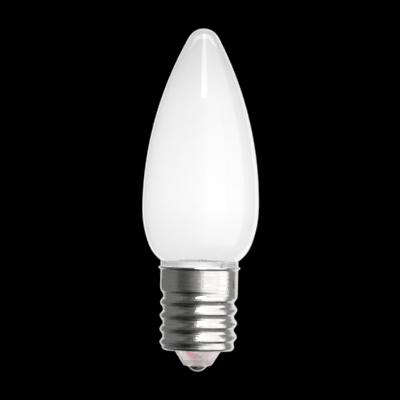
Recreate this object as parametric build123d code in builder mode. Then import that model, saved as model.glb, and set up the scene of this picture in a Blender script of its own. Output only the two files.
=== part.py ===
from build123d import *
import math
import os

# A candle-shaped LED Christmas lamp on an intermediate screw cap, in millimetres.
# +Z runs along the lamp's axis from the cap to the tip, and the front is towards -Y.
# The origin is on the axis at the top of the cap's plain collar, where the lip starts to flare.
os.makedirs("parts", exist_ok=True)

# Envelope: one thick clear moulding, which its cavity follows at one wall thickness
envelope_wall = 2.67
tip_height = 51.1
nose_arc = 3.5
cavity_nose_arc = 0.85
belly_radius = 12.24
belly_height = 13.4
belly_arc = 21.8
belly_turn = 20.7
heel_arc = 7.8
spigot_radius = 5.45
spigot_depth = 2.2
neck_radius = 4.95

# Screw cap: nine threads to the inch, rolled in thin sheet
thread_pitch = 25.4 / 9
thread_depth = 0.745
thread_length = 12.14
thread_run_in = 1.45
thread_run_out = 0.8
crest_height = -5.32  # where a crest faces +X
levels_per_turn = 6
collar_radius = 8.155
collar_height = 3.76
sheet = 0.3
lip_flare = 0.5
lip_angle = 60
lip_bend = 0.5
foot_step = 0.555
foot_drop = 0.81
foot_bend = 0.75

# Stakes that lock the cap to the core: pressed in from outside, in the collar
stake_azimuths = (-162, -27)
stake_height = -2.6
stake_length = 2.2
stake_width = 0.7
stake_depth = 0.28
stake_pip = 0.25

# Base core: one clear moulding, a cup above the lip, a tube in the cap and a cone below it
core_clearance = 0.05
cup_step = 0.015
cup_height = 2.1
core_neck_height = 3.5
cavity_radius = 5.3
cavity_taper = 1.7
cone_radius = 4.94
cone_nose_radius = 2.96
cone_height = 3.1
cone_wall = 1.1
nose_dome = 0.28
nose_wall = 1.1

# Centre contact: a rivet through the cone's nose
contact_radius = 1.93
contact_dome = 1.1
rivet_radius = 0.8
rivet_head_radius = 1.4
rivet_head = 0.35
solder_radius = 1.1
solder_height = 0.8

# Reflector plug: a white moulding that fills the neck and holds the board upright
plug_clearance = 0.05
plug_flange = 0.4
plug_wall = 0.75
plug_top = 1.0

# Circuit board: a paddle, wide in the core and narrow in the envelope
board_thickness = 1.0
board_foot_height = -13.6
board_top_height = 31.0
board_neck_width = 7.2
board_clearance = 0.05
board_corner = 1.0

# Light-emitting diodes: a row of flat packages on each face of the board
led_rows = 3
led_top_gap = 5.0
led_spacing = 8.0
led_width = 2.8
led_length = 3.5
led_thickness = 0.75
led_well = 0.12
led_rim = 0.3

# Bridge rectifier: a flat package with two pairs of legs, on the front
rectifier_width = 4.0
rectifier_length = 4.7
rectifier_thickness = 1.5
rectifier_height = -5.4
leg_width = 0.65
leg_reach = 0.8
leg_thickness = 0.2
leg_spacing = 2.5

# Film capacitor: a dipped block, on the back
film_width = 7.0
film_length = 5.6
film_thickness = 2.6
film_height = -6.1
film_round = 0.6

# Smoothing capacitor: an upright can, on the front
can_radius = 2.0
can_length = 4.8
can_offset = 1.0
can_top_height = -8.4
can_groove = 0.25
can_groove_height = 0.9

# Resistors: two chips, on the back
chip_width = 1.6
chip_length = 3.2
chip_thickness = 0.55
chip_cap = 0.5
chip_step = 0.1
chip_height = -11.2
chip_offset = 2.4

# Leads: an insulated one to the centre contact and a bare one to the cap
red_lead_radius = 0.45
red_pad_across = -3.9
red_pad_height = -11.0
red_bends = ((-2.4, -1.7, 0.5), (-1.5, -1.5, -0.9))  # across, back and above the cap's bottom
wire_radius = 0.2
shell_lead_azimuth = -54.6
lead_end_gap = 0.35
lead_hole_radius = 0.3
lead_hole_margin = 0.05
lead_groove = 0.25
lead_entry_bend = 1.2
lead_bend = 0.35
pad_across = 3.9
pad_height = -6.4
pad_drop = 1.9
lead_aim = 0.9

# Heights and radii that follow from the sizes above
thread_top = -collar_height
thread_bottom = thread_top - thread_length
shell_bottom = thread_bottom - foot_drop
foot_radius = collar_radius - foot_step
foot_inside = shell_bottom + sheet
thread_offset = thread_depth / 2
collar_inside = collar_radius - sheet
cup_radius = collar_radius + cup_step
opening_radius = cone_radius + core_clearance
core_neck_radius = collar_inside - core_clearance
core_thread_radius = collar_radius - thread_depth - sheet - core_clearance
core_bore_radius = spigot_radius + core_clearance
ledge_height = -spigot_depth - plug_flange
cone_end = shell_bottom - cone_height
contact_seat = cone_end - nose_dome
cone_floor = cone_end + nose_wall
board_face = board_thickness / 2
board_foot_width = 2 * (core_bore_radius - board_clearance)
lead_height = ledge_height - core_clearance - lead_hole_radius - lead_hole_margin
lead_out_radius = collar_inside - wire_radius
groove_floor = lead_out_radius - lead_groove
lip_corner = lip_bend * math.tan(math.radians(lip_angle / 2))
lip_rise = lip_flare / math.tan(math.radians(lip_angle))
core_foot_chamfer = foot_bend - sheet


def at_azimuth(azimuth, radius, height):
    """The point that stands at a radius and a height, on the side of the lamp that an azimuth names."""
    turn = math.radians(azimuth)
    return Vector(radius * math.cos(turn), radius * math.sin(turn), height)


def facing_out(azimuth, radius, height):
    """A plane that faces straight out from the axis, with its own X level and its own Y up."""
    outward = at_azimuth(azimuth, 1, 0)
    return Plane(at_azimuth(azimuth, radius, height), x_dir=Vector(-outward.Y, outward.X), z_dir=outward)


def bend_radii(points):
    """The arc at each corner of a lead: as large as the runs on both sides leave room for."""
    radii = []
    for before, corner, after in zip(points, points[1:], points[2:]):
        turn = math.radians((corner - before).get_angle(after - corner))
        shorter = min((corner - before).length, (after - corner).length)
        radii.append(0.45 * shorter / math.tan(turn / 2))
    return radii


def over_lip(radius):
    """The height at a radius of a line that clears the lip's inner face."""
    slope = math.radians(lip_angle)
    over_sheet = (sheet + core_clearance) / math.sin(slope)
    return lip_corner + (radius - collar_radius) / math.tan(slope) + over_sheet


def underside_height(radius):
    """The height of the envelope's underside at a radius, on the arc of its heel."""
    turn = math.radians(belly_turn)
    centre_radius = belly_radius - belly_arc + (belly_arc - heel_arc) * math.cos(turn)
    centre_height = belly_height - (belly_arc - heel_arc) * math.sin(turn)
    return centre_height - math.sqrt(heel_arc**2 - (radius - centre_radius) ** 2)


def envelope_outline(inward, nose):
    """The envelope's outline, moved inward, as four tangent arcs from the axis at the tip to the spigot."""
    widest = belly_radius - inward
    rise = tip_height - inward - belly_height
    side_arc = (widest**2 + (rise - nose) ** 2 - nose**2) / (2 * (widest - nose))
    side_turn = math.degrees(math.asin((rise - nose) / (side_arc - nose)))
    belly_cos = math.cos(math.radians(belly_turn))
    heel_top_radius = belly_radius - belly_arc * (1 - belly_cos)
    heel_cos = belly_cos - (heel_top_radius - spigot_radius) / heel_arc
    heel_turn = math.degrees(math.acos(heel_cos)) - belly_turn
    with BuildLine() as outline:
        side = JernArc((widest, belly_height), (0, 1), side_arc, side_turn)
        JernArc(side @ 1, side % 1, nose, 90 - side_turn)
        belly = JernArc((widest, belly_height), (0, -1), belly_arc - inward, -belly_turn)
        heel = JernArc(belly @ 1, belly % 1, heel_arc - inward, -heel_turn)
    return outline.line, heel @ 1


outside_line, underside = envelope_outline(0, nose_arc)
inside_line, floor = envelope_outline(envelope_wall, cavity_nose_arc)
shell_lead_top = underside_height(lead_out_radius) - lead_end_gap

with BuildPart() as envelope:
    with BuildSketch(Plane.XZ):
        with BuildLine():
            add(outside_line)
            Polyline((0, tip_height), (0, -spigot_depth), (spigot_radius, -spigot_depth), underside)
        make_face()
    revolve(axis=Axis.Z)
    with BuildSketch(Plane.XZ):
        with BuildLine():
            add(inside_line)
            Polyline(
                (0, tip_height - envelope_wall),
                (0, -spigot_depth),
                (neck_radius, -spigot_depth),
                (neck_radius, floor.Y),
                floor,
            )
        make_face()
    revolve(axis=Axis.Z, mode=Mode.SUBTRACT)
envelope.part.label = "envelope"
export_step(envelope.part, "parts/envelope.step")


def thread_level(height):
    """The sheet's section in the thread: a ring whose centre walks round between run-in and run-out."""
    started = min(1, (thread_top - height) / thread_run_in)
    ending = min(1, (height - thread_bottom) / thread_run_out)
    started, ending = (share * share * (3 - 2 * share) for share in (started, ending))
    radius = collar_radius - thread_offset * started
    radius = foot_radius + (radius - foot_radius) * ending
    walked = max(min(height, thread_top - thread_run_in), thread_bottom + thread_run_out)
    azimuth = 360 * (walked - crest_height) / thread_pitch
    centre = at_azimuth(azimuth, thread_offset * min(started, ending), 0)
    with BuildSketch(Plane.XY.offset(height)) as ring:
        with Locations((centre.X, centre.Y)):
            Circle(radius)
            Circle(radius - sheet, mode=Mode.SUBTRACT)
    return ring.sketch


level_count = round(levels_per_turn * thread_length / thread_pitch)
thread_levels = [thread_level(thread_top - thread_length * n / level_count) for n in range(level_count + 1)]

with BuildPart() as screw_shell:
    with BuildSketch(Plane.XZ):
        with BuildLine():
            FilletPolyline(
                (collar_radius, thread_top),
                (collar_radius, lip_corner),
                (collar_radius + lip_flare, lip_corner + lip_rise),
                radius=lip_bend,
            )
            offset(amount=sheet, side=Side.LEFT)
        make_face()
    revolve(axis=Axis.Z)
    loft(thread_levels, ruled=True)
    with BuildSketch(Plane.XZ):
        with BuildLine():
            FilletPolyline(
                (foot_radius, thread_bottom),
                (foot_radius, shell_bottom),
                (opening_radius, shell_bottom),
                radius=foot_bend,
            )
            offset(amount=sheet, side=Side.RIGHT)
        make_face()
    revolve(axis=Axis.Z)
    for azimuth in stake_azimuths:
        with BuildSketch(facing_out(azimuth, collar_radius - stake_depth - stake_pip, stake_height)):
            SlotOverall(stake_length, stake_width, rotation=90)
        extrude(amount=stake_pip + stake_depth / 2)
        with BuildSketch(facing_out(azimuth, collar_radius - stake_depth, stake_height)):
            SlotOverall(stake_length - stake_pip, stake_width - stake_pip, rotation=90)
        extrude(amount=stake_depth + sheet, mode=Mode.SUBTRACT)
screw_shell.part.label = "screw_shell"
export_step(screw_shell.part, "parts/screw_shell.step")

with BuildPart() as base_core:
    with BuildSketch(Plane.XZ):
        with BuildLine():
            Polyline(
                (0, cup_height),
                (cup_radius, cup_height),
                (cup_radius, over_lip(cup_radius)),
                (core_neck_radius, over_lip(core_neck_radius)),
                (core_neck_radius, -core_neck_height),
                (core_thread_radius, -core_neck_height - core_neck_radius + core_thread_radius),
                (core_thread_radius, foot_inside + core_foot_chamfer),
                (core_thread_radius - core_foot_chamfer, foot_inside),
                (cone_radius, foot_inside),
                (cone_radius, shell_bottom),
                (cone_nose_radius, cone_end),
                (contact_radius, contact_seat),
                (0, contact_seat),
                close=True,
            )
        make_face()
    revolve(axis=Axis.Z)
    # the cup's seat for the envelope, with a thin gap all round it
    with BuildSketch(Plane.XZ):
        with BuildLine():
            seat_line, seat = envelope_outline(-core_clearance, nose_arc + core_clearance)
            add(seat_line)
            Polyline((0, tip_height + core_clearance), (0, seat.Y), seat)
        make_face()
    revolve(axis=Axis.Z, mode=Mode.SUBTRACT)
    # the bore for the spigot, the ledge, the cavity and the hollow of the cone
    with BuildSketch(Plane.XZ):
        with BuildLine():
            cone_slope = (cone_radius - cone_nose_radius) / cone_height
            Polyline(
                (0, cup_height),
                (core_bore_radius, cup_height),
                (core_bore_radius, ledge_height),
                (cavity_radius, ledge_height),
                (cavity_radius, shell_bottom + cavity_taper),
                (cone_radius - cone_wall, shell_bottom),
                (cone_nose_radius + cone_slope * nose_wall - cone_wall, cone_floor),
                (0, cone_floor),
                close=True,
            )
        make_face()
    revolve(axis=Axis.Z, mode=Mode.SUBTRACT)
    # the two grooves that the board's edges slide down
    with BuildSketch(Plane.XY.offset(board_foot_height)):
        Rectangle(2 * core_bore_radius, board_thickness + 2 * board_clearance)
    extrude(amount=ledge_height - board_foot_height, mode=Mode.SUBTRACT)
    # the rivet's hole
    with BuildSketch(Plane.XY.offset(contact_seat)):
        Circle(rivet_radius + core_clearance)
    extrude(amount=cone_floor - contact_seat, mode=Mode.SUBTRACT)
    # the pockets that the stakes press into
    for azimuth in stake_azimuths:
        pocket_radius = collar_radius - stake_depth - stake_pip - core_clearance
        with BuildSketch(facing_out(azimuth, pocket_radius, stake_height)):
            SlotOverall(stake_length + 2 * core_clearance, stake_width + 2 * core_clearance, rotation=90)
        extrude(amount=stake_pip + stake_depth, mode=Mode.SUBTRACT)
    # the hole and the outer groove for the lead to the cap
    with BuildSketch(facing_out(shell_lead_azimuth, cavity_radius / 2, lead_height)):
        Circle(lead_hole_radius)
    extrude(amount=lead_out_radius - cavity_radius / 2, mode=Mode.SUBTRACT)
    groove_bottom = lead_height - lead_hole_radius
    groove_top = shell_lead_top + core_clearance
    groove_middle = (groove_bottom + groove_top) / 2
    with BuildSketch(facing_out(shell_lead_azimuth, groove_floor, groove_middle)):
        Rectangle(2 * lead_groove, groove_top - groove_bottom)
    extrude(amount=cup_radius - groove_floor, mode=Mode.SUBTRACT)
base_core.part.label = "base_core"
export_step(base_core.part, "parts/base_core.step")

with BuildPart() as centre_contact:
    with BuildSketch(Plane.XZ):
        with BuildLine():
            Polyline(
                (0, contact_seat - contact_dome),
                (0, cone_floor + rivet_head),
                (rivet_head_radius, cone_floor + rivet_head),
                (rivet_head_radius, cone_floor),
                (rivet_radius, cone_floor),
                (rivet_radius, contact_seat),
                (contact_radius, contact_seat),
            )
            dome_radius = (contact_radius**2 + contact_dome**2) / (2 * contact_dome)
            RadiusArc((contact_radius, contact_seat), (0, contact_seat - contact_dome), dome_radius)
        make_face()
    revolve(axis=Axis.Z)
centre_contact.part.label = "centre_contact"
export_step(centre_contact.part, "parts/centre_contact.step")

with BuildPart() as reflector_plug:
    plug_radius = neck_radius - plug_clearance
    with BuildSketch(Plane.XY.offset(ledge_height)):
        Circle(core_bore_radius - core_clearance)
    extrude(amount=plug_flange)
    with BuildSketch(Plane.XY.offset(ledge_height)):
        Circle(plug_radius)
    extrude(amount=floor.Y - ledge_height)
    with BuildSketch(Plane.XY.offset(ledge_height)):
        Circle(plug_radius - plug_wall)
    extrude(amount=floor.Y - plug_top - ledge_height, mode=Mode.SUBTRACT)
    with BuildSketch(Plane.XY.offset(floor.Y - plug_top)):
        Rectangle(board_neck_width + 2 * board_clearance, board_thickness + 2 * board_clearance)
    extrude(amount=plug_top, mode=Mode.SUBTRACT)
reflector_plug.part.label = "reflector_plug"
export_step(reflector_plug.part, "parts/reflector_plug.step")

with BuildPart() as circuit_board:
    with BuildSketch(Plane.XZ.offset(-board_face)):
        board_shoulder = ledge_height - board_clearance
        with BuildLine():
            Polyline(
                (-board_foot_width / 2, board_foot_height),
                (board_foot_width / 2, board_foot_height),
                (board_foot_width / 2, board_shoulder),
                (board_neck_width / 2, board_shoulder),
                (board_neck_width / 2, board_top_height - board_corner),
                (board_neck_width / 2 - board_corner, board_top_height),
                (board_corner - board_neck_width / 2, board_top_height),
                (-board_neck_width / 2, board_top_height - board_corner),
                (-board_neck_width / 2, board_shoulder),
                (-board_foot_width / 2, board_shoulder),
                close=True,
            )
        make_face()
    extrude(amount=board_thickness)
circuit_board.part.label = "circuit_board"
export_step(circuit_board.part, "parts/circuit_board.step")


def board_side(front, height, across=0):
    """A plane on one face of the board that faces away from it, with its own Y up."""
    outward = -1 if front else 1
    return Plane((across, outward * board_face, height), x_dir=(-outward, 0, 0), z_dir=(0, outward, 0))


for n in range(2 * led_rows):
    led_height = board_top_height - led_top_gap - led_spacing * (led_rows - 1 - n % led_rows)
    led_plane = board_side(n < led_rows, led_height)
    with BuildPart() as led:
        with BuildSketch(led_plane):
            Rectangle(led_width, led_length)
        extrude(amount=led_thickness)
        with BuildSketch(led_plane.offset(led_thickness - led_well)):
            RectangleRounded(led_width - 2 * led_rim, led_length - 2 * led_rim, led_rim)
        extrude(amount=led_well, mode=Mode.SUBTRACT)
    led.part.label = f"led_{n + 1}"
    export_step(led.part, f"parts/led_{n + 1}.step")

with BuildPart() as bridge_rectifier:
    rectifier_plane = board_side(True, rectifier_height)
    with BuildSketch(rectifier_plane):
        Rectangle(rectifier_width, rectifier_length)
    extrude(amount=rectifier_thickness)
    chamfer(bridge_rectifier.faces().sort_by(Axis.Y)[0].edges(), leg_thickness)
    # each leg comes out of the body's side, drops to the board and turns outward
    with BuildSketch(rectifier_plane):
        with GridLocations(rectifier_width + leg_reach, leg_spacing, 2, 2):
            Rectangle(leg_reach, leg_width)
    extrude(amount=leg_thickness)
    with BuildSketch(rectifier_plane):
        with GridLocations(rectifier_width + leg_thickness, leg_spacing, 2, 2):
            Rectangle(leg_thickness, leg_width)
    extrude(amount=rectifier_thickness / 2)
bridge_rectifier.part.label = "bridge_rectifier"
export_step(bridge_rectifier.part, "parts/bridge_rectifier.step")

with BuildPart() as film_capacitor:
    with BuildSketch(board_side(False, film_height)):
        Rectangle(film_width, film_length)
    extrude(amount=film_thickness)
    fillet(film_capacitor.edges().filter_by(Axis.Y), film_round)
    fillet(film_capacitor.faces().sort_by(Axis.Y)[-1].edges(), film_round)
film_capacitor.part.label = "film_capacitor"
export_step(film_capacitor.part, "parts/film_capacitor.step")

with BuildPart() as smoothing_capacitor:
    can_foot = Plane((can_offset, -board_face - can_radius, can_top_height - can_length))
    with BuildSketch(can_foot):
        Circle(can_radius)
    extrude(amount=can_length)
    with BuildSketch(can_foot.offset(can_groove_height)):
        Circle(can_radius)
        Circle(can_radius - can_groove, mode=Mode.SUBTRACT)
    extrude(amount=can_groove, mode=Mode.SUBTRACT)
smoothing_capacitor.part.label = "smoothing_capacitor"
export_step(smoothing_capacitor.part, "parts/smoothing_capacitor.step")

for n, across in enumerate((-chip_offset, chip_offset)):
    with BuildPart() as resistor:
        chip_plane = board_side(False, chip_height, across)
        with BuildSketch(chip_plane):
            Rectangle(chip_width, chip_length)
        extrude(amount=chip_thickness)
        with BuildSketch(chip_plane.offset(chip_thickness)):
            Rectangle(chip_width, chip_length - 2 * chip_cap)
        extrude(amount=-chip_step, mode=Mode.SUBTRACT)
    resistor.part.label = f"resistor_{n + 1}"
    export_step(resistor.part, f"parts/resistor_{n + 1}.step")

# Red lead: from a pad on the board's front down the side of the cone and in to the rivet
red_route = [
    Vector(red_pad_across, -board_face - red_lead_radius, red_pad_height),
    Vector(red_pad_across, -board_face - red_lead_radius, board_foot_height),
    *(Vector(across, back, shell_bottom + above) for across, back, above in red_bends),
    Vector(0, 0, cone_floor + rivet_head + red_lead_radius),
]
with BuildPart() as red_lead:
    with BuildLine() as red_path:
        FilletPolyline(red_route, radius=bend_radii(red_route))
    with BuildSketch(Plane(red_path.wire() @ 0, z_dir=red_path.wire() % 0)):
        Circle(red_lead_radius)
    sweep()
red_lead.part.label = "red_lead"
export_step(red_lead.part, "parts/red_lead.step")

# Bare lead: from the board out through the core's hole and up between the core and the cap
pad_end = Vector(pad_across, -board_face - wire_radius, pad_height)
shell_route = [
    pad_end,
    pad_end + Vector(0, 0, pad_drop),
    at_azimuth(shell_lead_azimuth, cavity_radius - lead_aim, lead_height),
    at_azimuth(shell_lead_azimuth, lead_out_radius, lead_height),
    at_azimuth(shell_lead_azimuth, lead_out_radius, shell_lead_top),
]
with BuildPart() as shell_lead:
    with BuildLine() as shell_path:
        FilletPolyline(shell_route, radius=bend_radii(shell_route)[:1] + [lead_entry_bend, lead_bend])
    with BuildSketch(Plane(shell_path.wire() @ 0, z_dir=shell_path.wire() % 0)):
        Circle(wire_radius)
    sweep()
shell_lead.part.label = "shell_lead"
export_step(shell_lead.part, "parts/shell_lead.step")

with BuildPart() as contact_solder:
    with BuildSketch(Plane.XZ):
        with BuildLine():
            solder_base = cone_floor + rivet_head
            Polyline((0, solder_base + solder_height), (0, solder_base), (solder_radius, solder_base))
            solder_sphere = (solder_radius**2 + solder_height**2) / (2 * solder_height)
            RadiusArc((solder_radius, solder_base), (0, solder_base + solder_height), -solder_sphere)
        make_face()
    revolve(axis=Axis.Z)
    add(red_lead.part, mode=Mode.SUBTRACT)
contact_solder.part.label = "contact_solder"
export_step(contact_solder.part, "parts/contact_solder.step")
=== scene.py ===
import math

import bmesh
import bpy
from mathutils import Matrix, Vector


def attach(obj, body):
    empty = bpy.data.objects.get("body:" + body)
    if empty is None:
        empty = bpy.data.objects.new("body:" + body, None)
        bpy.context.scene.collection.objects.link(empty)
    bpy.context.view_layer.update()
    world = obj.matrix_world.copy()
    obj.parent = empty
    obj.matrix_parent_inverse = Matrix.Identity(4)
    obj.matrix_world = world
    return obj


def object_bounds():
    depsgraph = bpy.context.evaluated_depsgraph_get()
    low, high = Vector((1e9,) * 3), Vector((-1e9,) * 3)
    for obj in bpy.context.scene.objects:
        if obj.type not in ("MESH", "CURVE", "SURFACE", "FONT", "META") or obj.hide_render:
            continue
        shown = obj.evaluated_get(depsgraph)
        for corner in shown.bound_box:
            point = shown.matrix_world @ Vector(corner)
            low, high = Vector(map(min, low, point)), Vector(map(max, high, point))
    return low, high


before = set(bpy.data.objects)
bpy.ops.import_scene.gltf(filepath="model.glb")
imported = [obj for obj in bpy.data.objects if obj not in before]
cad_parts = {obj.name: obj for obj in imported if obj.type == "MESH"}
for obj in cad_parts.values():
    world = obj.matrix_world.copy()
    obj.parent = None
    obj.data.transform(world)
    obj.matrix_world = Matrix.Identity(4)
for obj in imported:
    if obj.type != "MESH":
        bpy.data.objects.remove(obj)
cad_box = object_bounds()

# The photograph: its scale, and where the lamp's axis crosses its middle row, in pixels
PIXEL = 0.211e-3
PICTURE = 400
AXIS_COLUMN = 200.7
AXIS_LEAN = math.radians(1.12)
MIDDLE_HEIGHT = 0.01495
CAMERA_DISTANCE = 0.59
SENSOR = 36.0

# Grain of the materials: a noise's detail, and the stretch of its output that moves colour and roughness
NOISE_DETAIL = 3.0
GRAIN_ENDS = (0.3, 0.7)

# Surfaces that one noise varies: darker shade, lighter shade, limits of roughness, grain, other sockets
METAL = {"Metallic": 1.0}
CLEAR = {"Transmission Weight": 1.0}
SURFACES = {
    "clear_plastic": ((0.975, 0.98, 0.98), (0.99, 0.995, 0.995), (0.0, 0.02), 90, CLEAR | {"IOR": 1.5}),
    "contact_nickel": ((0.60, 0.60, 0.59), (0.70, 0.70, 0.69), (0.16, 0.26), 1500, METAL),
    "tinned": ((0.42, 0.41, 0.39), (0.55, 0.54, 0.52), (0.25, 0.4), 2500, METAL),
    "red_insulation": ((0.55, 0.02, 0.06), (0.68, 0.04, 0.09), (0.3, 0.42), 1200, {}),
    "white_moulding": ((0.92, 0.92, 0.915), (0.96, 0.96, 0.955), (0.35, 0.5), 700, {}),
    "solder_mask": ((0.80, 0.81, 0.79), (0.88, 0.88, 0.86), (0.4, 0.55), 900, {}),
    "led_body": ((0.86, 0.82, 0.55), (0.93, 0.90, 0.66), (0.3, 0.45), 1500, {}),
    "black_epoxy": ((0.02, 0.02, 0.02), (0.04, 0.04, 0.042), (0.45, 0.6), 2500, {}),
    "dipped_resin": ((0.42, 0.08, 0.02), (0.52, 0.12, 0.04), (0.2, 0.32), 900, {}),
    "can_sleeve": ((0.55, 0.55, 0.56), (0.65, 0.65, 0.66), (0.25, 0.35), 1200, METAL),
    "chip_body": ((0.03, 0.03, 0.035), (0.06, 0.06, 0.065), (0.35, 0.5), 3000, {}),
    "frost_other_side": ((0.99, 0.99, 0.99), (1, 1, 1), (0.0, 0.0), 1200, CLEAR | {"IOR": 1.0}),
    "floor_paper": ((0.80, 0.80, 0.80), (0.83, 0.83, 0.83), (0.8, 0.9), 20, {}),
}
WORN = {
    "envelope": "clear_plastic",
    "base_core": "cloudy_plastic",
    "screw_shell": "nickel",
    "centre_contact": "contact_nickel",
    "contact_solder": "tinned",
    "red_lead": "red_insulation",
    "shell_lead": "tinned",
    "reflector_plug": "white_moulding",
    "circuit_board": "solder_mask",
    "bridge_rectifier": "black_epoxy",
    "film_capacitor": "dipped_resin",
    "smoothing_capacitor": "can_sleeve",
    "resistor_1": "chip_body",
    "resistor_2": "chip_body",
    **{f"led_{n}": "led_body" for n in range(1, 7)},
}

# The base core's moulding: its tint at heights from the cone up to the cup, pinker at the cone partly by its
# own tint and partly by a painted reflection of the red lead inside, and how clear it is
CORE_TINT_AND_LEAD_REFLECTION = (
    (-0.0200, (0.95, 0.87, 0.885)),
    (-0.0160, (0.95, 0.88, 0.895)),
    (-0.0010, (0.98, 0.98, 0.98)),
)
CORE_GRAIN = 400
CORE_GREYS = ((0.97, 0.97, 0.97), (1.0, 1.0, 1.0))
CORE_ROUGHNESS = (0.02, 0.06)
CORE_CLEARNESS = 0.78
CORE_INDEX = 1.12
CORE_COAT_ROUGHNESS = 0.03

# The cap's plate: a fine orange peel, and marks that run round it
PEEL_GRAIN = 2600
MARKS_GRAIN = 1100
MARKS_STRETCH = (0.25, 0.25, 2.2)
PLATE_SHADES = ((0.58, 0.57, 0.56), (0.70, 0.69, 0.68))
PLATE_ROUGHNESS = (0.09, 0.15)
PLATE_RELIEF = 0.00004

# The frosted layer on the envelope's inner face: its sizes in metres, and its grey at heights in the frame, a
# painted shade that darkens it towards the tip
FROST_FOOT = 0.0036
FROST_BURIED = 0.00005
FROST_THICKNESS = 0.00003
SAME_POINT = 1e-7
FROST_GRAIN = 1200
FROST_GREYS = ((0.975, 0.975, 0.975), (0.99, 0.99, 0.99))
FROST_SHOWS_THROUGH = 0.05
# painted shade: full white at the foot, greyer step by step towards the tip
FROST_PAINTED_SHADE = (
    (0.004, (1.0, 1.0, 1.0)),
    (0.016, (1.0, 1.0, 1.0)),
    (0.026, (0.94, 0.94, 0.94)),
    (0.036, (0.86, 0.86, 0.86)),
    (0.048, (0.68, 0.68, 0.68)),
)

# The soft box above the camera: azimuth to the right of it, place, width and length, and power
BOX_AZIMUTH = math.radians(4)
BOX_DISTANCE = 0.27
BOX_HEIGHT = 0.52
BOX_SIZE = (0.16, 0.5)
BOX_POWER = 0.8

# The floor under the lamp, a plain round sheet
FLOOR_DROP = 0.075
FLOOR_RADIUS = 0.84
FLOOR_SIDES = 96

# The room: plain light on what is matt, what clear plastic shows of it, and its walls in reflections.
# Each wall's stop is an azimuth from the camera's side, positive to the right, and the brightness there.
PLAIN_LEVEL = 0.97
THROUGH_LEVEL = 0.38
WALLS = (
    (-180, 0.9),
    (-158, 0.9),
    (-150, 0.24),
    (-75, 0.22),
    (-60, 0.10),
    (-38, 0.11),
    (-16, 0.28),
    (2, 0.55),
    (14, 1.4),
    (54, 1.5),
    (57, 1.1),
    (60, 1.5),
    (92, 1.5),
    (100, 0.35),
    (134, 0.35),
    (142, 1.0),
    (180, 1.0),
)
# How dark the room is below the lamp, and between which levels of a direction's rise it turns so
BELOW_LEVEL = 0.15
BELOW_ENDS = (-0.8, -0.5)


def node_material(name):
    """A new material with a Principled shader, as its nodes, its links and the shader."""
    material = bpy.data.materials.new(name)
    material.use_nodes = True
    nodes = material.node_tree.nodes
    return material, nodes, material.node_tree.links, nodes["Principled BSDF"]


def noise(nodes, links, scale, stretch=(1, 1, 1)):
    """A noise in the object's own metres, as its output socket."""
    place = nodes.new("ShaderNodeTexCoord")
    mapping = nodes.new("ShaderNodeMapping")
    mapping.inputs["Scale"].default_value = stretch
    links.new(place.outputs["Object"], mapping.inputs["Vector"])
    texture = nodes.new("ShaderNodeTexNoise")
    texture.inputs["Scale"].default_value = scale
    texture.inputs["Detail"].default_value = NOISE_DETAIL
    links.new(mapping.outputs["Vector"], texture.inputs["Vector"])
    return texture.outputs["Fac"]


def ramp(nodes, links, source, stops):
    """A colour ramp from a source socket, with stops of (place, colour)."""
    node = nodes.new("ShaderNodeValToRGB")
    elements = node.color_ramp.elements
    while len(elements) < len(stops):
        elements.new(0.5)
    for element, (place, colour) in zip(elements, stops):
        element.position = place
        element.color = (*colour, 1)
    links.new(source, node.inputs["Fac"])
    return node.outputs["Color"]


def grained(nodes, links, grain, shades):
    """A colour that a noise moves between two shades."""
    return ramp(nodes, links, grain, list(zip(GRAIN_ENDS, shades)))


def by_height(nodes, links, stops):
    """A colour that changes with the height in the frame, with stops of (height in metres, colour)."""
    place = nodes.new("ShaderNodeTexCoord")
    split = nodes.new("ShaderNodeSeparateXYZ")
    links.new(place.outputs["Object"], split.inputs["Vector"])
    lowest, highest = stops[0][0], stops[-1][0]
    share = nodes.new("ShaderNodeMapRange")
    share.inputs["From Min"].default_value = lowest
    share.inputs["From Max"].default_value = highest
    links.new(split.outputs["Z"], share.inputs["Value"])
    places = [((height - lowest) / (highest - lowest), colour) for height, colour in stops]
    return ramp(nodes, links, share.outputs["Result"], places)


def tinted(nodes, links, first, second):
    """Two colours multiplied."""
    mix = nodes.new("ShaderNodeMix")
    mix.data_type = "RGBA"
    mix.blend_type = "MULTIPLY"
    mix.inputs["Factor"].default_value = 1.0
    links.new(first, mix.inputs["A"])
    links.new(second, mix.inputs["B"])
    return mix.outputs["Result"]


def spread(nodes, links, source, low, high, ends=GRAIN_ENDS):
    """A number that a source, such as a noise, moves between two limits."""
    node = nodes.new("ShaderNodeMapRange")
    node.inputs["From Min"].default_value, node.inputs["From Max"].default_value = ends
    node.inputs["To Min"].default_value = low
    node.inputs["To Max"].default_value = high
    links.new(source, node.inputs["Value"])
    return node.outputs["Result"]


def surface(name, dark, light, rough, grain, sockets):
    """A material whose colour and roughness vary a little with one noise."""
    material, nodes, links, shader = node_material(name)
    texture = noise(nodes, links, grain)
    links.new(grained(nodes, links, texture, (dark, light)), shader.inputs["Base Color"])
    links.new(spread(nodes, links, texture, *rough), shader.inputs["Roughness"])
    for socket, value in sockets.items():
        shader.inputs[socket].default_value = value
    return material


def cloudy_plastic():
    """A clear moulding with a white haze in it, which is pinker towards the cone: partly its own tint, partly
    a painted reflection of the red lead inside.
    """
    material, nodes, links, shader = node_material("cloudy_plastic")
    texture = noise(nodes, links, CORE_GRAIN)
    grain = grained(nodes, links, texture, CORE_GREYS)
    # the pink at the cone is partly the moulding's own tint and partly a painted reflection of the red lead
    # inside
    links.new(tinted(nodes, links, grain, by_height(nodes, links, CORE_TINT_AND_LEAD_REFLECTION)), shader.inputs["Base Color"])
    links.new(spread(nodes, links, texture, *CORE_ROUGHNESS), shader.inputs["Roughness"])
    shader.inputs["Transmission Weight"].default_value = CORE_CLEARNESS
    shader.inputs["IOR"].default_value = CORE_INDEX
    shader.inputs["Coat Weight"].default_value = 1.0
    shader.inputs["Coat Roughness"].default_value = CORE_COAT_ROUGHNESS
    return material


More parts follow.
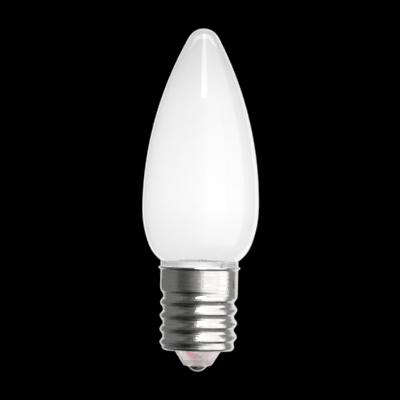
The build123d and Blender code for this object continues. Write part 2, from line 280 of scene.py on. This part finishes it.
def nickel():
    """Bright plate over rolled sheet: a fine orange peel, with faint marks that run round the cap."""
    material, nodes, links, shader = node_material("nickel")
    peel = noise(nodes, links, PEEL_GRAIN)
    marks = noise(nodes, links, MARKS_GRAIN, MARKS_STRETCH)
    links.new(grained(nodes, links, marks, PLATE_SHADES), shader.inputs["Base Color"])
    links.new(spread(nodes, links, peel, *PLATE_ROUGHNESS), shader.inputs["Roughness"])
    shader.inputs["Metallic"].default_value = 1.0
    both = nodes.new("ShaderNodeMath")
    both.operation = "ADD"
    links.new(peel, both.inputs[0])
    links.new(marks, both.inputs[1])
    relief = nodes.new("ShaderNodeBump")
    relief.inputs["Strength"].default_value = 1.0
    relief.inputs["Distance"].default_value = PLATE_RELIEF
    links.new(both.outputs["Value"], relief.inputs["Height"])
    links.new(relief.outputs["Normal"], shader.inputs["Normal"])
    return material


def frost_material():
    """A thin white layer that both scatters light back and lets it through, with painted shade that greys it
    towards the tip.
    """
    material, nodes, links, shader = node_material("frost")
    grain = grained(nodes, links, noise(nodes, links, FROST_GRAIN), FROST_GREYS)
    # painted shade: the frost's white is multiplied by a grey that darkens with height towards the tip
    colour = tinted(nodes, links, grain, by_height(nodes, links, FROST_PAINTED_SHADE))
    nodes.remove(shader)
    back = nodes.new("ShaderNodeBsdfDiffuse")
    through = nodes.new("ShaderNodeBsdfTranslucent")
    mix = nodes.new("ShaderNodeMixShader")
    mix.inputs["Fac"].default_value = FROST_SHOWS_THROUGH
    links.new(colour, back.inputs["Color"])
    links.new(colour, through.inputs["Color"])
    links.new(back.outputs["BSDF"], mix.inputs[1])
    links.new(through.outputs["BSDF"], mix.inputs[2])
    links.new(mix.outputs["Shader"], nodes["Material Output"].inputs["Surface"])
    return material


def dress(node, material):
    """Gives a CAD node its material."""
    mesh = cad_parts[node].data
    mesh.materials.clear()
    mesh.materials.append(material)


def placed(name, data):
    """A new object in the scene."""
    obj = bpy.data.objects.new(name, data)
    bpy.context.scene.collection.objects.link(obj)
    return obj


materials = {name: surface(name, *row) for name, row in SURFACES.items()}
materials["cloudy_plastic"] = cloudy_plastic()
materials["nickel"] = nickel()
for node, worn in WORN.items():
    dress(node, materials[worn])

# What is matt takes its light straight through the clear mouldings and the cap, so it isn't dark inside
for node in ("envelope", "base_core", "screw_shell"):
    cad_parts[node].visible_diffuse = False
    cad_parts[node].visible_shadow = False


def faces_out(face):
    """Whether a face looks away from the lamp's axis."""
    return face.normal.xy.dot(face.calc_center_median().xy) > 0


def frost_layer():
    """A thin closed skin just inside the envelope's wall, all over the cavity's face above its foot.

    Its outward side is white, greyed by painted shade towards the tip, and its other side lets light cross
    unchanged.
    """
    skin = bmesh.new()
    skin.from_mesh(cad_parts["envelope"].data)
    bmesh.ops.remove_doubles(skin, verts=skin.verts, dist=SAME_POINT)
    skin.normal_update()
    others = [f for f in skin.faces if faces_out(f) or min(v.co.z for v in f.verts) < FROST_FOOT]
    bmesh.ops.delete(skin, geom=others, context="FACES")
    loose = [v for v in skin.verts if not v.link_faces]
    bmesh.ops.delete(skin, geom=loose, context="VERTS")
    skin.normal_update()
    for vertex in skin.verts:
        vertex.co -= vertex.normal * FROST_BURIED
    bmesh.ops.solidify(skin, geom=skin.faces[:], thickness=FROST_THICKNESS)
    bmesh.ops.recalc_face_normals(skin, faces=skin.faces)
    # the foot's rim is added in an order that changes from run to run, so all faces are put in one order
    in_order = sorted(skin.faces, key=lambda face: face.calc_center_median().to_tuple())
    for number, face in enumerate(in_order):
        face.index = number
        face.smooth = True
        face.material_index = 0 if faces_out(face) else 1
    skin.faces.sort()
    mesh = bpy.data.meshes.new("envelope_frost")
    skin.to_mesh(mesh)
    skin.free()
    mesh.materials.append(frost_material())
    mesh.materials.append(materials["frost_other_side"])
    return placed("envelope_frost", mesh)


frost = frost_layer()
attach(frost, "root")


def soft_box():
    """The one lamp: a soft box above the camera that faces the middle of the picture."""
    light = bpy.data.lights.new("soft_box_top", "AREA")
    light.shape = "RECTANGLE"
    light.size, light.size_y = BOX_SIZE
    light.energy = BOX_POWER
    box = placed("soft_box_top", light)
    place = Vector((math.sin(BOX_AZIMUTH) * BOX_DISTANCE, -math.cos(BOX_AZIMUTH) * BOX_DISTANCE, BOX_HEIGHT))
    box.location = place
    box.rotation_mode = "QUATERNION"
    box.rotation_quaternion = (Vector((0, 0, MIDDLE_HEIGHT)) - place).to_track_quat("-Z", "Y")


soft_box()


def paper_floor():
    """A plain pale sheet, below the photograph's frame."""
    turns = [2 * math.pi * n / FLOOR_SIDES for n in range(FLOOR_SIDES)]
    rim = [(FLOOR_RADIUS * math.cos(turn), FLOOR_RADIUS * math.sin(turn), 0) for turn in turns]
    mesh = bpy.data.meshes.new("floor")
    mesh.from_pydata(rim, [], [range(FLOOR_SIDES)])
    mesh.materials.append(materials["floor_paper"])
    sheet = placed("floor", mesh)
    sheet.location.z = cad_box[0].z - FLOOR_DROP
    sheet.visible_glossy = False
    return sheet


floor = paper_floor()


def walls(nodes, links):
    """The walls' brightness in each direction, darker below the lamp, as a colour socket and its strength."""
    place = nodes.new("ShaderNodeTexCoord")
    turned = nodes.new("ShaderNodeMapping")
    turned.inputs["Rotation"].default_value = (0, 0, math.pi / 2)  # the middle stop faces the camera's side
    links.new(place.outputs["Generated"], turned.inputs["Vector"])
    round_about = nodes.new("ShaderNodeTexGradient")
    round_about.gradient_type = "RADIAL"
    links.new(turned.outputs["Vector"], round_about.inputs["Vector"])
    brightest = max(level for azimuth, level in WALLS)
    stops = [((azimuth + 180) / 360, (level / brightest,) * 3) for azimuth, level in WALLS]
    round_wall = ramp(nodes, links, round_about.outputs["Fac"], stops)
    split = nodes.new("ShaderNodeSeparateXYZ")
    links.new(place.outputs["Generated"], split.inputs["Vector"])
    up_wall = spread(nodes, links, split.outputs["Z"], BELOW_LEVEL, 1.0, BELOW_ENDS)
    return tinted(nodes, links, round_wall, up_wall), brightest


def plain(nodes, name, level):
    """A background of one grey level."""
    background = nodes.new("ShaderNodeBackground")
    background.name = name
    background.inputs["Color"].default_value = (level, level, level, 1)
    return background.outputs["Background"]


def chosen(nodes, links, choice, otherwise, shader):
    """One background where a kind of ray asks for it, and another otherwise."""
    mix = nodes.new("ShaderNodeMixShader")
    links.new(choice, mix.inputs["Fac"])
    links.new(otherwise, mix.inputs[1])
    links.new(shader, mix.inputs[2])
    return mix.outputs["Shader"]


def room():
    """The world: walls in reflections, plain light on matt surfaces, and black behind the lamp."""
    world = bpy.data.worlds.new("room")
    world.use_nodes = True
    world.cycles.sampling_method = "NONE"
    nodes, links = world.node_tree.nodes, world.node_tree.links
    wall_colour, wall_strength = walls(nodes, links)
    links.new(wall_colour, nodes["Background"].inputs["Color"])
    nodes["Background"].inputs["Strength"].default_value = wall_strength
    rays = nodes.new("ShaderNodeLightPath").outputs
    shader = nodes["Background"].outputs["Background"]
    shader = chosen(nodes, links, rays["Is Transmission Ray"], shader, plain(nodes, "through", THROUGH_LEVEL))
    shader = chosen(nodes, links, rays["Diffuse Depth"], shader, plain(nodes, "matt", PLAIN_LEVEL))
    shader = chosen(nodes, links, rays["Is Camera Ray"], shader, plain(nodes, "behind", 0.0))
    links.new(shader, nodes["World Output"].inputs["Surface"])
    bpy.context.scene.world = world


room()

# Camera: level with the middle of the picture, and rolled as the lamp leans in the photograph
camera_data = bpy.data.cameras.new("camera")
camera_data.sensor_width = SENSOR
camera_data.lens = SENSOR * CAMERA_DISTANCE / (PICTURE * PIXEL)
camera = placed("camera", camera_data)
side = (PICTURE / 2 - AXIS_COLUMN) * PIXEL
camera.location = (side * math.cos(AXIS_LEAN), -CAMERA_DISTANCE, MIDDLE_HEIGHT - side * math.sin(AXIS_LEAN))
camera.rotation_euler = (math.pi / 2, -AXIS_LEAN, 0)
bpy.context.scene.camera = camera

bpy.context.scene.view_settings.view_transform = "Standard"
